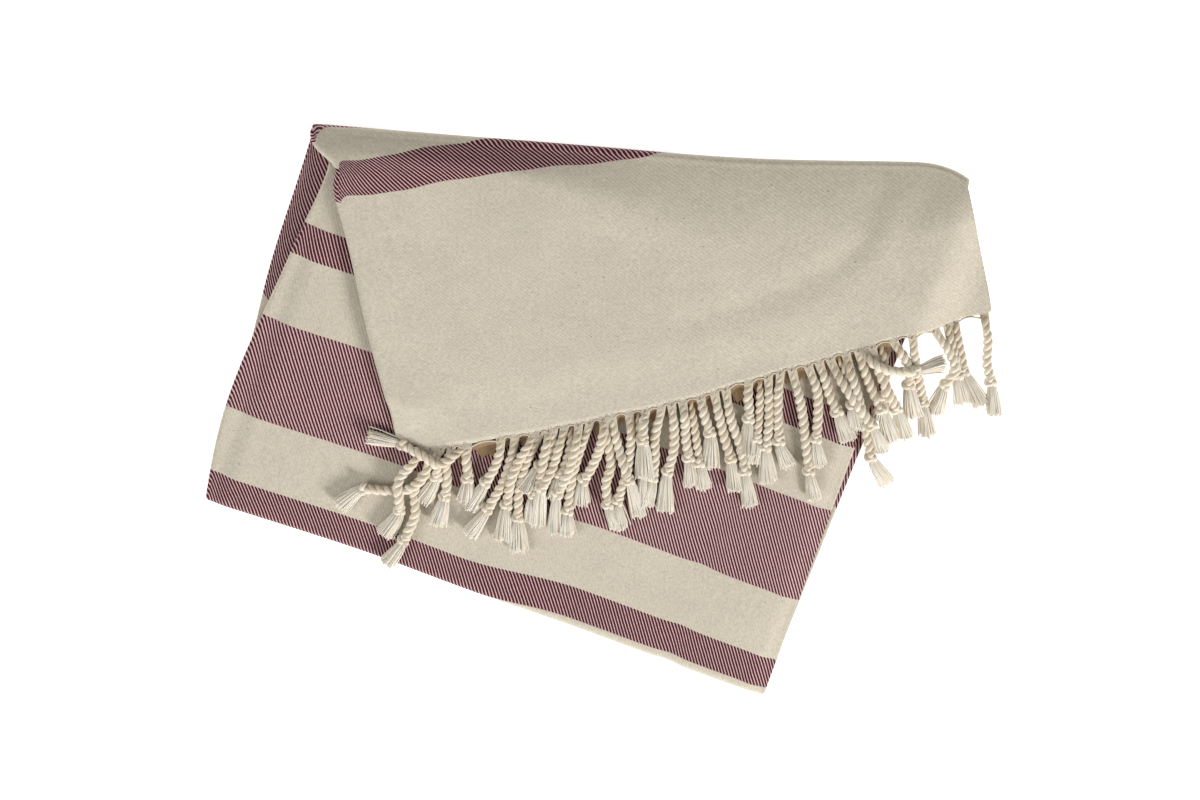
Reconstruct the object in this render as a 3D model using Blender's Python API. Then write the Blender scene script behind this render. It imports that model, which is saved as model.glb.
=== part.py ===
"""A hammam towel of cotton twill with a knotted fringe, lying folded.

It is folded in half along its length, so each layer is two plies joined by a lengthwise fold on the left.
Then it is folded back and forth across its length into five layers. From the top down they are the
flap, which ends in the fringe; the front; two hidden layers; and the back, which lies on the surface.
The folds across are the top fold (flap to back), the bottom fold (back to front), the inner top fold
(front to first hidden layer) and the inner bottom fold (first to second hidden layer).

Plan positions are seen from above, +X to the right and +Y towards the top fold. The origin is on the
surface, below the middle part of the towel.
"""

import bisect
import math

import bmesh
import bpy
from mathutils import Matrix, Vector

MM = 0.001

# The cloth
TOWEL_WIDTH = 1000 * MM
HALF_WIDTH = TOWEL_WIDTH / 2
CLOTH_THICKNESS = 1.2 * MM
PLY_PITCH = 1.7 * MM  # from the middle of one ply to the middle of the next
LAYER_PITCH = 2 * PLY_PITCH
HALF_LAYER = (PLY_PITCH + CLOTH_THICKNESS) / 2

# The outline as it lies: each fold's or edge's left end, at the lengthwise fold, and right end, at the selvedges
HEM = (Vector((-167, -29)) * MM, Vector((321, 76)) * MM)
TOP_FOLD = (Vector((-228, 237)) * MM, Vector((297, 204)) * MM)
BOTTOM_FOLD = (Vector((-331, -88)) * MM, Vector((141, -270)) * MM)
INNER_TOP_FOLD = (Vector((-220, 207)) * MM, Vector((246, 68)) * MM)
INNER_BOTTOM_FOLD = (Vector((-329, -83)) * MM, Vector((143, -263)) * MM)
HIDDEN_END = (Vector((-236, 174)) * MM, Vector((226, 8)) * MM)
MIDDLE = Vector((0, 0))

# How far the hidden layers stay inside the front's left and right edges
HIDDEN_INSET_LEFT = 24 * MM
HIDDEN_INSET_RIGHT = 20 * MM

# How the lines depart from straight
TOP_FOLD_SAG = 4 * MM
TOP_FOLD_SAG_RIGHT = 3.2 * MM  # and more over its right half
TOP_CORNER_ROUNDING = 12 * MM
TOP_CORNER_START = 0.918
BOTTOM_FOLD_BOWS = (
    # inward, middle, half width (shares of the fold's length)
    (4.5 * MM, 0.27, 0.22),
    (3.0 * MM, 0.66, 0.17),
)
SELVEDGE_BULGE = 2 * MM
HEM_SAG = 17 * MM
FRONT_LEFT_BOW = 9 * MM
FRONT_DRAWN_IN = 2.5 * MM
BACK_LEFT_BOW = 3.5 * MM
FLAP_DRAWN_IN = 1.5 * MM  # the flap's left edge, over its whole length
FLAP_DRAWN_MORE = 5.5 * MM  # and over its upper half
FLAP_TUCK = 6.5 * MM  # and in the small tuck just before the top fold

# How the upper layers rise and fall
CLEAR = 0.5 * MM
FRONT_LIFT = 1.2 * MM
FRONT_WAVE = 0.6 * MM
FRONT_DROOP = 3.6 * MM
DROOP_WIDTH = 18 * MM
DROOP_FADE = 100 * MM
FLAP_LIFT = 5.0 * MM
HEM_LIFT = 3.2 * MM
FLAP_FALL = 2.7 * MM
FALL_WIDTH = 110 * MM
CORNER_BULGE = 5 * MM  # how much higher the top fold is at the lengthwise fold
TOP_SLOPE = 20 * MM  # how far from the top fold the flap starts to slope down to it
TOP_SLOPE_RIGHT = 34 * MM  # and how much further over its right half
DRAPE_WIDTH = 46 * MM

# The flap's creases, soft troughs between two plan points, in mm
FLAP_CREASES = (
    # start x, start y, end x, end y, depth, half width
    (226, 182, 222, 128, 2.2, 9),
    (222, 128, 158, 96, 1.8, 10),
    (158, 96, 40, 66, 0.9, 14),
    (268, 172, 288, 186, 1.6, 12),
    (-136, 28, -122, -22, 1.4, 7),
    (-150, 176, -138, 60, 0.8, 12),
)

# The grid: places across one ply, from the lengthwise fold, and the parts of each stretch along it
ACROSS = [place * MM for place in (0, 10, 20, 40, 80, 140, 200, 260, 320, 370, 410, 450, 480, 500)]
FLAP_PARTS = (0.05, 0.14, 0.25, 0.37, 0.49, 0.60, 0.70, 0.78, 0.84, 0.89, 0.93, 0.965)
BACK_PARTS = (0.2, 0.4, 0.65)
FRONT_STEPS = 9
HIDDEN_STEPS = 5
OUTER_TURNS = 6
INNER_TURNS = 4
EDGE_TURNS = [math.radians(turn) for turn in (45, 90, 135)]

# The fringe: a narrow strip along the flap's edge, and cords that end in a knot and a brush
STRIP_GAP = 0.35 * MM
STRIP_WIDTH = 2.5 * MM
ROOTS_PER_PLY = 25
ROOT_HALF_WIDTH = 2.6 * MM
CORD_HALF_WIDTH = 3.2 * MM
CORD_HALF_HEIGHT = 2.6 * MM
CORD_SECTIONS = (
    # distance from the root in mm, share of the cord's half width, share of its half height
    (7, 1.0, 1.0),
    (24, 1.0, 1.0),
    (42, 1.0, 1.0),
    (59, 1.0, 1.0),
    (64, 1.35, 1.3),
    (69, 0.95, 0.95),
    (80, 1.25, 0.95),
    (93, 1.35, 0.7),
)
LEAN_MIDDLE = math.radians(-6)
LEAN_LEFT = math.radians(-69)
LEFT_SHARE = 0.24  # of the half width, over which the left end's splay dies away
LEAN_RIGHT = math.radians(5)

COLOURS = {
    # part: base colour, roughness
    "towel_cloth": ((0.60, 0.52, 0.43), 0.92),
    "towel_fringe": ((0.74, 0.67, 0.55), 0.90),
}


def smooth(value):
    value = min(max(value, 0.0), 1.0)
    return value * value * (3 - 2 * value)


def bell(value):
    return math.exp(-value * value)


def on_line(line, share):
    return line[0].lerp(line[1], share)


def outward(line, away_from=MIDDLE):
    """The unit normal of a plan line, pointing away from a plan point."""
    along = line[1] - line[0]
    normal = Vector((-along.y, along.x)).normalized()
    return normal if normal.dot(line[0] - away_from) > 0 else -normal


def beyond(line, point, away_from=MIDDLE):
    """How far a plan point lies outside a line."""
    return outward(line, away_from).dot(point - line[0])


def from_crease(point, start, end):
    along = end - start
    share = min(max((point - start).dot(along) / along.length_squared, 0.0), 1.0)
    return (point - start - along * share).length


def layer_height(layer):
    """Middle of a layer above the surface, counted from 0 for the back."""
    return HALF_LAYER + layer * LAYER_PITCH


BACK_RIGHT_EDGE = (BOTTOM_FOLD[1], TOP_FOLD[1])
FRONT_LEFT_EDGE = (BOTTOM_FOLD[0], INNER_TOP_FOLD[0])
FRONT_RIGHT_EDGE = (BOTTOM_FOLD[1], INNER_TOP_FOLD[1])
FLAP_LEFT_EDGE = (HEM[0], TOP_FOLD[0])
FRONT_TOP = layer_height(3) + HALF_LAYER + FRONT_LIFT + FRONT_WAVE


def back_height(_point):
    return layer_height(0)


def first_hidden_height(_point):
    return layer_height(2)


def second_hidden_height(_point):
    return layer_height(1)


def front_height(point):
    """The front lies on the hidden layers and droops at its side edges, which reach past them."""
    inside_left = -beyond(FRONT_LEFT_EDGE, point)
    inside_right = -beyond(FRONT_RIGHT_EDGE, point)
    inside = min(inside_left, inside_right)
    below = smooth(-beyond(INNER_TOP_FOLD, point) / DROOP_FADE)
    wave = FRONT_WAVE * math.sin(point.x / (31 * MM)) * math.cos(point.y / (47 * MM))
    droop = FRONT_DROOP * below * (1 - smooth(inside / DROOP_WIDTH))
    return layer_height(3) + (FRONT_LIFT + wave) * smooth(inside / (45 * MM)) - droop


def drape(point):
    """How far the flap and its fringe have come down past the towel's right edge, from 0 to 1."""
    return smooth((beyond(BACK_RIGHT_EDGE, point) - 1 * MM) / DRAPE_WIDTH)


def rest_height(point):
    """What the flap and its fringe lie on: the front, and past the right edge the surface."""
    return (FRONT_TOP + CLEAR) * (1 - drape(point))


def flap_height(point):
    """The flap lies on the front, slopes down to the top fold and drapes on the right."""
    from_left = -beyond(FLAP_LEFT_EDGE, point)
    from_hem = -beyond(HEM, point, TOP_FOLD[0])
    past_front = beyond(INNER_TOP_FOLD, point)
    rise = HEM_LIFT + (FLAP_LIFT - HEM_LIFT) * smooth(from_hem / (42 * MM))
    rise *= 0.3 + 0.7 * smooth(from_left / (45 * MM))
    rise -= FLAP_FALL * smooth(past_front / FALL_WIDTH)
    for row in FLAP_CREASES:
        start, end = Vector(row[0:2]) * MM, Vector(row[2:4]) * MM
        rise -= row[4] * MM * bell(from_crease(point, start, end) / (row[5] * MM))
    if past_front < 0:
        rise = max(rise, 0.0)
    lying = HALF_LAYER + rest_height(point) + rise * (1 - drape(point))
    share = (point.x - TOP_FOLD[0].x) / (TOP_FOLD[1].x - TOP_FOLD[0].x)
    slope = TOP_SLOPE + TOP_SLOPE_RIGHT * bell((share - 0.72) / 0.26)
    at_fold = layer_height(1) + CLEAR + CORNER_BULGE * math.exp(-max(share, 0.0) / 0.14)
    return at_fold + (lying - at_fold) * smooth(-beyond(TOP_FOLD, point) / slope)


def hem_plan(share):
    """The fringed edge sags over its left part."""
    sag = HEM_SAG * (1 - math.exp(-share / 0.035)) * (1 - smooth((share - 0.38) / 0.5))
    return on_line(HEM, share) + outward(HEM, TOP_FOLD[0]) * sag


def top_fold_plan(share):
    corner = TOP_CORNER_ROUNDING * max((share - TOP_CORNER_START) / (1 - TOP_CORNER_START), 0.0) ** 2.6
    inward = TOP_FOLD_SAG * math.sin(math.pi * share) + corner
    inward += TOP_FOLD_SAG_RIGHT * bell((share - 0.66) / 0.2)
    return on_line(TOP_FOLD, share) - outward(TOP_FOLD) * inward


def bottom_fold_plan(share):
    inward = sum(depth * bell((share - middle) / width) for depth, middle, width in BOTTOM_FOLD_BOWS)
    return on_line(BOTTOM_FOLD, share) - outward(BOTTOM_FOLD) * inward


def inner_top_plan(share):
    return on_line(INNER_TOP_FOLD, share)


def inset(line):
    """A hidden layer's line, drawn in from the front's side edges."""
    along = (line[1] - line[0]).normalized()
    return (line[0] + along * HIDDEN_INSET_LEFT, line[1] - along * HIDDEN_INSET_RIGHT)


def inner_bottom_plan(share):
    return on_line(inset(INNER_BOTTOM_FOLD), share)


def fold_point(plan, out, height_before, height_after, share, turn):
    """A point of a half roll between two layers. Its outer face reaches the plan line."""
    edge = plan(share)
    radius = LAYER_PITCH
    for _ in range(3):
        inside = edge - out * (HALF_LAYER + radius)
        start, end = height_before(inside), height_after(inside)
        radius = abs(start - end) / 2
    place = inside + out * (radius * math.sin(turn))
    return Vector((place.x, place.y, (start + end) / 2 + (start - end) / 2 * math.cos(turn)))


def fold_rows(plan, line, height_before, height_after, turns):
    out = outward(line)
    return [
        [
            fold_point(plan, out, height_before, height_after, place / HALF_WIDTH, math.pi * step / turns)
            for place in ACROSS
        ]
        for step in range(turns + 1)
    ]


def even_parts(steps):
    return [step / steps for step in range(1, steps)]


def panel_rows(first, last, height, parts, shift=None):
    """The rows at parts of the way between two rows, each point at its layer's height."""
    rows = []
    for part in parts:
        row = []
        for place, start, end in zip(ACROSS, first, last):
            point = start.to_2d().lerp(end.to_2d(), part)
            if shift:
                point = point + shift(part, place)
            row.append(Vector((point.x, point.y, height(point))))
        rows.append(row)
    return rows


def flap_shift(part, place):
    """The flap's left edge is drawn in towards its upper end, most in a small tuck before the top fold."""
    drawn = FLAP_DRAWN_IN * smooth(part / 0.12) + FLAP_DRAWN_MORE * smooth((part - 0.25) / 0.5)
    drawn *= 1 - smooth((part - 0.92) / 0.07)
    drawn += FLAP_TUCK * bell((part - 0.893) / 0.042)
    bulge = SELVEDGE_BULGE * bell((part - 0.18) / 0.3) * (place / HALF_WIDTH) ** 6
    return Vector((drawn * math.exp(-place / (45 * MM)) + bulge, 0))


def front_shift(part, place):
    """The front's left edge bows outwards, most at its lower third, and is drawn in above."""
    bow = FRONT_LEFT_BOW * part / 0.3 * math.exp((1 - (part / 0.3) ** 2) / 2)
    bow -= FRONT_DRAWN_IN * bell((part - 0.8) / 0.2)
    return outward(FRONT_LEFT_EDGE) * bow * math.exp(-place / (90 * MM))


def back_shift(part, place):
    """The back's left edge bows a little outwards below the top fold."""
    return Vector((-BACK_LEFT_BOW, 0)) * bell((part - 0.35) / 0.2) * math.exp(-place / (30 * MM))


def hidden_shift(part, place):
    """The first hidden layer draws in early from the width of the inner top fold."""
    along = (INNER_BOTTOM_FOLD[1] - INNER_BOTTOM_FOLD[0]).normalized()
    early = min(part * HIDDEN_STEPS, 1.0) - part
    share = place / HALF_WIDTH
    return along * early * (HIDDEN_INSET_LEFT * (1 - share) - HIDDEN_INSET_RIGHT * share)


def middle_surface():
    """Rows of points down the middle of the doubled cloth, from the hem to the hidden end."""
    hem_places = [hem_plan(place / HALF_WIDTH) for place in ACROSS]
    hem = [Vector((point.x, point.y, flap_height(point))) for point in hem_places]
    top = fold_rows(top_fold_plan, TOP_FOLD, flap_height, back_height, OUTER_TURNS)
    bottom = fold_rows(bottom_fold_plan, BOTTOM_FOLD, back_height, front_height, OUTER_TURNS)
    upper = fold_rows(
        inner_top_plan, INNER_TOP_FOLD, front_height, first_hidden_height, INNER_TURNS
    )
    lower = fold_rows(
        inner_bottom_plan,
        INNER_BOTTOM_FOLD,
        first_hidden_height,
        second_hidden_height,
        INNER_TURNS,
    )
    end_places = [on_line(inset(HIDDEN_END), place / HALF_WIDTH) for place in ACROSS]
    end = [Vector((point.x, point.y, second_hidden_height(point))) for point in end_places]
    rows = [hem]
    rows += panel_rows(hem, top[0], flap_height, FLAP_PARTS, flap_shift) + top
    rows += panel_rows(top[-1], bottom[0], back_height, BACK_PARTS, back_shift) + bottom
    rows += panel_rows(bottom[-1], upper[0], front_height, even_parts(FRONT_STEPS), front_shift) + upper
    rows += panel_rows(upper[-1], lower[0], first_hidden_height, even_parts(HIDDEN_STEPS), hidden_shift)
    rows += lower + panel_rows(lower[-1], end, second_hidden_height, even_parts(2)) + [end]
    return rows


def direction(before, here, after):
    """The unit direction through a point, halfway between those from and to its neighbours."""
    total = Vector((0, 0, 0))
    if before is not None:
        total += (here - before).normalized()
    if after is not None:
        total += (after - here).normalized()
    return total.normalized()


def frame_at(rows, j, i):
    """The directions across, along and out of the doubled cloth at one point of its middle surface."""
    row, here = rows[j], rows[j][i]
    across = direction(row[i - 1] if i else None, here, row[i + 1] if i + 1 < len(row) else None)
    along = direction(
        rows[j - 1][i] if j else None, here, rows[j + 1][i] if j + 1 < len(rows) else None
    )
    normal = across.cross(along).normalized()
    return along.cross(normal).normalized(), along, normal


def stations():
    """Column and turn of each point round the doubled cloth, from the first selvedge to the other."""
    last = len(ACROSS) - 1
    first_ply = [(i, 0.0) for i in range(last, -1, -1)]
    second_ply = [(i, math.pi) for i in range(last + 1)]
    return first_ply + [(0, turn) for turn in EDGE_TURNS] + second_ply


def run_of(i, turn):
    """A station's distance along the section from the crest of the lengthwise fold."""
    arc = (turn - math.pi / 2) * PLY_PITCH / 2
    return arc + ACROSS[i] if turn > math.pi / 2 else arc - ACROSS[i]


def skins(rows, j):
    """The outer and inner face of one row's section, and the direction along the cloth, at each station."""
    outer, inner, alongs = [], [], []
    for i, turn in stations():
        across, along, normal = frame_at(rows, j, i)
        reach = normal * math.cos(turn) - across * math.sin(turn)
        outer.append(rows[j][i] + reach * HALF_LAYER)
        inner.append(rows[j][i] + reach * (HALF_LAYER - CLOTH_THICKNESS))
        alongs.append(along)
    return outer, inner, alongs


def bridge(bm, ring, following, skipped=()):
    for index in range(len(ring)):
        if index not in skipped:
            after = (index + 1) % len(ring)
            bm.faces.new((ring[index], ring[after], following[after], following[index]))


def build_cloth(rows):
    """A loft of the cloth's sections, bent into its folds, with both ends closed."""
    bm = bmesh.new()
    rings = []
    for j in range(len(rows)):
        outer, inner, _ = skins(rows, j)
        rings.append([bm.verts.new(point) for point in outer + inner[::-1]])
    for ring, following in zip(rings, rings[1:]):
        bridge(bm, ring, following)
    for ring in (rings[0], rings[-1]):
        for k in range(len(ring) // 2 - 1):
            bm.faces.new((ring[k], ring[k + 1], ring[-k - 2], ring[-k - 1]))
    return finish(bm, "towel_cloth")


class Hem:
    """The cloth's fringed edge, followed by its run along the section."""

    def __init__(self, rows):
        self.runs = [run_of(i, turn) for i, turn in stations()]
        self.outer, self.inner, alongs = skins(rows, 0)
        self.off = [-along for along in alongs]

    def ring(self, run):
        """The strip's section at a run: near, then far, on the outer face, then far, near on the inner."""
        index = min(max(bisect.bisect_right(self.runs, run) - 1, 0), len(self.runs) - 2)
        part = (run - self.runs[index]) / (self.runs[index + 1] - self.runs[index])
        outer, inner, off = (
            items[index].lerp(items[index + 1], part) for items in (self.outer, self.inner, self.off)
        )
        near, far = off * STRIP_GAP, off * (STRIP_GAP + STRIP_WIDTH)
        return [outer + near, outer + far, inner + far, inner + near]


def root_runs():
    """Each cord's run along the section. The two plies' cords alternate."""
    spacing = HALF_WIDTH / ROOTS_PER_PLY
    arc = math.pi / 2 * PLY_PITCH / 2
    upper = [-(index + 0.25) * spacing - arc for index in range(ROOTS_PER_PLY)]
    lower = [(index + 0.75) * spacing + arc for index in range(ROOTS_PER_PLY)]
    return upper + lower


def heading_of(run):
    """The cord's plan direction: square to the hem, then leaned as it fans out."""
    share = abs(run) / HALF_WIDTH
    lean = LEAN_MIDDLE + LEAN_LEFT * math.exp(-share / LEFT_SHARE) + LEAN_RIGHT * share**2
    heading = outward(HEM, TOP_FOLD[0])
    heading.rotate(Matrix.Rotation(lean, 2))
    return heading


def grow_cord(bm, left, right, heading):
    """A cord with its knot and brush, lofted from two upright edges of the strip's far side."""
    side = Vector((-heading.y, heading.x, 0))
    up = Vector((0, 0, 1))
    signs = ((-1, 1), (1, 1), (1, -1), (-1, -1))
    ring = [left[0], right[0], right[1], left[1]]
    root = sum((vert.co for vert in ring), Vector((0, 0, 0))) / 4
    for distance, width, height in CORD_SECTIONS:
        place = root.to_2d() + heading * (distance * MM)
        half_width, half_height = width * CORD_HALF_WIDTH, height * CORD_HALF_HEIGHT
        centre = Vector((place.x, place.y, rest_height(place) + half_height))
        points = [centre + side * (s * half_width) + up * (t * half_height) for s, t in signs]
        following = [bm.verts.new(point) for point in points]
        bridge(bm, ring, following)
        ring = following
    bm.faces.new(ring)


def build_fringe(rows):
    """The strip round the hem of both plies, with every cord growing from its far side."""
    hem = Hem(rows)
    starts = {run - ROOT_HALF_WIDTH: run for run in root_runs()}
    ends = [run + ROOT_HALF_WIDTH for run in root_runs()]
    places = sorted(hem.runs + list(starts) + ends)
    bm = bmesh.new()
    rings = [[bm.verts.new(point) for point in hem.ring(run)] for run in places]
    for place, ring, following in zip(places, rings, rings[1:]):
        rooted = place in starts
        bridge(bm, ring, following, skipped=(1,) if rooted else ())
        if rooted:
            edges = [(ring[1], ring[2]), (following[1], following[2])]
            if place < 0:
                left, right = edges[1], edges[0]
            else:
                left, right = edges[0][::-1], edges[1][::-1]
            grow_cord(bm, left, right, heading_of(starts[place]))
    bm.faces.new(rings[0])
    bm.faces.new(rings[-1])
    return finish(bm, "towel_fringe")


def finish(bm, name):
    bmesh.ops.recalc_face_normals(bm, faces=bm.faces)
    mesh = bpy.data.meshes.new(name)
    bm.to_mesh(mesh)
    bm.free()
    colour, roughness = COLOURS[name]
    material = bpy.data.materials.new(name + "_material")
    material.use_nodes = True
    principled = material.node_tree.nodes["Principled BSDF"]
    principled.inputs["Base Color"].default_value = (*colour, 1)
    principled.inputs["Roughness"].default_value = roughness
    mesh.materials.append(material)
    return bpy.data.objects.new(name, mesh)


def main():
    for obj in list(bpy.data.objects):
        bpy.data.objects.remove(obj, do_unlink=True)
    collection = bpy.data.collections.new("hammam_towel")
    bpy.context.scene.collection.children.link(collection)
    rows = middle_surface()
    for obj in (build_cloth(rows), build_fringe(rows)):
        collection.objects.link(obj)


main()
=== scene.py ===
"""Looks of a folded hammam towel: striped cotton twill, a knotted fringe and soft studio light.

Plan positions are seen from above, +X to the right and +Y towards the top fold, in metres. A view place
counts from the top left corner of the camera's view, 1200 across and 800 down.
"""

import math
import random

import bpy
import numpy as np
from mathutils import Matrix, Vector


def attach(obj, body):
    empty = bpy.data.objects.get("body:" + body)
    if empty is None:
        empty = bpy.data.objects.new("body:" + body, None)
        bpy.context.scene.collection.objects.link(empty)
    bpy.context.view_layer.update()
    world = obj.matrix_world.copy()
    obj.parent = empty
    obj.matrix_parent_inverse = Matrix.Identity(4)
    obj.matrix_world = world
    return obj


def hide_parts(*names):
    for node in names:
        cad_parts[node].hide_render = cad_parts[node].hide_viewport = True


MM = 0.001

# The camera leans from straight down towards the top fold
VIEW_TILT = math.radians(20)
VIEW_DISTANCE = 2.083
VIEW_FOCUS = 2500  # focal length in view places
VIEW_WIDTH = 1200
VIEW_MIDDLE = (600, 400)
SENSOR_WIDTH = 36

# The cloth
HALF_WIDTH = 0.5
TOWEL_LENGTH = 1.52
CLOTH_THICKNESS = 1.2 * MM
PLY_PITCH = 1.7 * MM
LAYER_PITCH = 2 * PLY_PITCH
HALF_LAYER = (PLY_PITCH + CLOTH_THICKNESS) / 2
FLAP_PUFF = 3.4 * MM  # how much further the plies part at the flap's lengthwise fold
FRONT_PUFF = 1.2 * MM
PUFF_WIDTH = 26 * MM

# The outline as it lies: each fold's or edge's left end, at the lengthwise fold, and its right end, at the
# selvedges
HEM = (Vector((-167, -29)) * MM, Vector((321, 76)) * MM)
TOP_FOLD = (Vector((-228, 237)) * MM, Vector((297, 204)) * MM)
BOTTOM_FOLD = (Vector((-331, -88)) * MM, Vector((141, -270)) * MM)
INNER_TOP_FOLD = (Vector((-215, 208)) * MM, Vector((246, 68)) * MM)
INNER_BOTTOM_FOLD = (Vector((-329, -83)) * MM, Vector((143, -263)) * MM)
HIDDEN_END = (Vector((-236, 174)) * MM, Vector((226, 8)) * MM)
MIDDLE = Vector((0, 0))
HIDDEN_INSET_LEFT = 24 * MM
HIDDEN_INSET_RIGHT = 20 * MM

# How the lines depart from straight
TOP_FOLD_SAG = 4 * MM
TOP_FOLD_FULLNESS = 0.6
TOP_FOLD_SAG_RIGHT = 3.2 * MM  # and more over its right half
TOP_CORNER_ROUNDING = 12 * MM
TOP_CORNER_START = 0.905
BOTTOM_FOLD_BOWS = (
    # inward, middle, half width (shares of the fold's length)
    (4.5 * MM, 0.27, 0.22),
    (3.0 * MM, 0.66, 0.17),
    (1.5 * MM, 0.82, 0.02),
)
SELVEDGE_BULGE = 2 * MM
HEM_SAG = 17 * MM
HEM_RECESS = 2.0 * MM  # how far the woven edge stays back from the roots' line
FRONT_LEFT_BOW = 9 * MM
FRONT_BOW_AT = 0.3  # the part of the way up where it bows most
FRONT_DRAWN_IN = 2.5 * MM
FRONT_HELD_OUT = 5 * MM  # how far its line stays out, but for its upper end
BACK_LEFT_BOW = 3.5 * MM
FLAP_DRAWN_IN = 3.7 * MM  # the flap's left edge, over its whole length
FLAP_DRAWN_MORE = 5.5 * MM  # and over its upper half
FLAP_TUCK = 6.5 * MM  # and in the small tuck just before the top fold

# How the upper layers rise and fall
CLEAR = 0.5 * MM
FRONT_LIFT = 1.2 * MM
FRONT_RISE_WIDTH = 45 * MM  # from its side edges
FRONT_WAVE = 0.6 * MM
FRONT_WAVE_LENGTH = 38 * MM
FRONT_DROOP = 3.6 * MM
DROOP_WIDTH = 18 * MM
DROOP_FADE = 100 * MM
FLAP_LIFT = 5.0 * MM
FLAP_WAVE = 0.35 * MM
FLAP_WAVE_LENGTH = 33 * MM
FLAP_STILL_WIDTH = 20 * MM  # beside the hem
HEM_LIFT = 3.2 * MM
HEM_RISE_WIDTH = 42 * MM
LEFT_LIFT = 0.3  # the share of that lift at the flap's left edge
LEFT_RISE_WIDTH = 45 * MM
FLAP_FALL = 2.7 * MM
FALL_WIDTH = 110 * MM
CORNER_BULGE = 5 * MM  # how much higher the top fold is at the lengthwise fold
CORNER_FADE = 0.14  # share of the top fold's length
TOP_SLOPE = 20 * MM  # how far from the top fold the flap starts to slope down to it
TOP_SLOPE_RIGHT = 66 * MM  # and how much further over its right half, where it bends more evenly
EVEN_BEND = 2.4  # above 1, it bends most where it leaves the fold
DRAPE_START = 1 * MM
DRAPE_WIDTH = 46 * MM

# Soft creases of the flap, along bent lines: troughs, or ridges where the depth is below 0
FLAP_CREASES = (
    # half width (mm), then places of the line (across and down in the view, depth in mm)
    (12, ((872, 176, 1.0), (868, 205, 2.4), (862, 240, 2.2), (828, 268, 1.6), (780, 290, 1.3),
          (640, 335, 0.0))),
    (9, ((908, 176, 0.0), (900, 200, -1.2), (880, 245, -1.2), (858, 290, 0.0))),
    (9, ((930, 176, 1.2), (924, 200, 1.4), (918, 232, 0.0))),
    (8, ((958, 178, 0.8), (966, 205, 1.6), (972, 240, 0.0))),
    (7, ((436, 330, 0.0), (446, 365, 1.8), (460, 405, 2.2), (472, 445, 0.8))),
    (9, ((448, 215, 0.0), (462, 280, -0.8), (486, 345, 0.0))),
    (14, ((425, 190, 0.0), (440, 240, 0.8), (466, 320, 0.0))),
    (15, ((560, 200, 0.0), (600, 235, 0.7), (690, 262, 0.6), (760, 300, 0.0))),
    (16, ((700, 262, 0.0), (745, 320, 0.6), (765, 372, 0.0))),
    (12, ((520, 300, 0.0), (560, 350, 0.5), (580, 420, 0.0))),
    (10, ((900, 262, 0.0), (925, 290, 0.7), (960, 310, 0.0))),
)

# The stripes, measured along the cloth from either fringed edge
STRIPES = (
    # start, end (mm)
    (206, 235),
    (261.5, 434),
    (630, 658),
    (717, 761),
)
BOTTOM_FOLD_ALONG = 627.8  # where along the cloth the bottom fold comes at its left end, in mm
FOLD_SLIPPED = 9.2  # and how much earlier it comes over its right part
NARROW_STRIPE = 40  # in mm. A narrower one shows a little more of its dark weft
STRIPE_RISE = 20.5 * MM  # how much the flap's stripes stand above the hem's straight line
STRIPE_EASE = 0.4  # the share of that rise that the first stripe's end keeps
STRIPE_RISE_WIDTH = 0.012  # share of the half width, from the lengthwise fold, over which they rise
RIB_PITCH = 2.55 * MM  # square to the ribs
RIB_WOBBLE = 0.5 * MM
STRIPE_TEETH = 0.9 * MM  # how far the ribs reach past a stripe's edge
STRIPE_FRAY = 0.3 * MM
SLUB_CELLS = (95.0, 160.0, 1.0)  # cells a metre across and along, of which few hold a dark speck of husk
SLUB_SIZE = 0.09  # of a cell
SLUB_CHANCE = 0.05
FIBRES_ALONG = 170  # a metre
RIB_LEAN_FLAP = math.radians(50)
RIB_LEAN_FRONT = math.radians(56)
TOP_FOLD_ALONG = 0.25  # where along the cloth the ribs' lean changes

# The grid of the cloth
PLACES_ACROSS = 96
CLOSER_AT_ENDS = 0.55  # how much closer together they lie at the lengthwise fold and at the selvedges
FLAP_STEPS = 56
BACK_STEPS = 40
FRONT_STEPS = 58
HIDDEN_STEPS = 5
OUTER_TURNS = 12
INNER_TURNS = 6
EDGE_TURNS = [math.radians(turn) for turn in (22, 45, 68, 90, 112, 135, 158)]

# The fringe
CORD_RADIUS = 4.3 * MM
CORD_TWIST = 13.5 * MM
ROOT_CLEAR = 2.8 * MM  # from a root's middle down to what the flap lies on
KNOT_SIZE = 4.1 * MM
KNOT_STEPS = 36
KNOT_LENGTH = 0.85  # shares of its size
KNOT_HEIGHT = 0.55
KNOT_RAISED = 0.6 * MM
KNOT_PLY_RADIUS = 2.2 * MM
ROOT_YARNS = 9
ROOT_SPREAD = 3.3 * MM  # half the width over which they leave the hem
BRUSH_YARNS = 72
BRUSH_START = 3.6 * MM  # half its width at the knot
BRUSH_END = 9.2 * MM
BRUSH_OPENING = 0.7  # under 1, it opens most near the knot
BRUSH_FLATNESS = 0.42
BRUSH_STEPS = 6
BRUSH_WAVE = 0.4 * MM
BRUSH_BED = 0.8 * MM  # how high its lowest yarns lie
BODY_SHARE = 0.8  # of the brush's width and height
BODY_SIDES = 20
BODY_OUTER = 0.75  # how far out its surface counts for the colour, which has painted shade towards the middle
CORD_PLACES = 40
BRUSH_PLACES = 8
ROOT_PLACES = 9
ROOT_JOINT = 9  # the place of the cord where its root's yarns come together
ROOT_DROP = 0.5 * MM  # how far a root lies below the flap's middle
LOWER_ROOT_DROP = 3.5 * MM
LOWER_CORD = 0.85  # the size of the lower ply's cords beside the upper ones
HEM_GAP = 5 * MM  # the smallest gap between two roots in which the lower ply shows
ARCH_PLACES = 9
ARCH_INSET = 0.10  # shares of the gap between two roots
SHADED_INSET = 0.02
ARCH_DEPTH = 2.8 * MM
ARCH_START = 1.7 * MM
SHADED_PITCH = 1.15 * MM
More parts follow.
